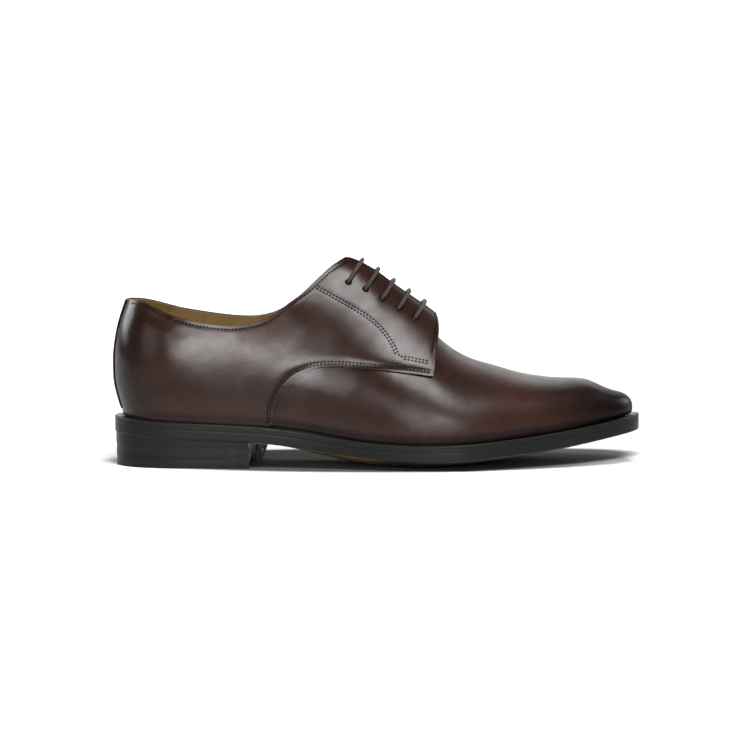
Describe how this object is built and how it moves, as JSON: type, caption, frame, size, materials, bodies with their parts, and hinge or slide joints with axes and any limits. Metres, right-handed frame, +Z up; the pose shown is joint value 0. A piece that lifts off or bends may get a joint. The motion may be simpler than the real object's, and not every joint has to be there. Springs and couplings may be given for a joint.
{
  "type": "derby shoe",
  "caption": "Plain right derby shoe in burnished brown leather with open lacing, blind eyelets, a welted leather sole and a stacked heel.",
  "frame": {"origin": "on the floor, at the middle of the shoe's length and of the sole's width", "axes": "+X from the heel to the toe, +Y to the inner (medial) side, +Z up"},
  "size_m": [0.3045, 0.1043, 0.1194],
  "materials": {
    "upper_leather": "burnished gloss",
    "lining_leather": "matt",
    "sole_leather": "waxed edge",
    "heel_leather": "waxed edge",
    "top_piece_rubber": "satin",
    "lace_cord": "waxed"
  },
  "bodies": {
    "root": {"outsole": "sole_leather", "midsole_welt": "sole_leather", "insole": "lining_leather", "heel_lift_upper": "heel_leather", "heel_lift_lower": "heel_leather", "heel_top_piece": "top_piece_rubber", "upper": "upper_leather", "tongue": "upper_leather", "lace": "lace_cord"}
  },
  "joints": []
}
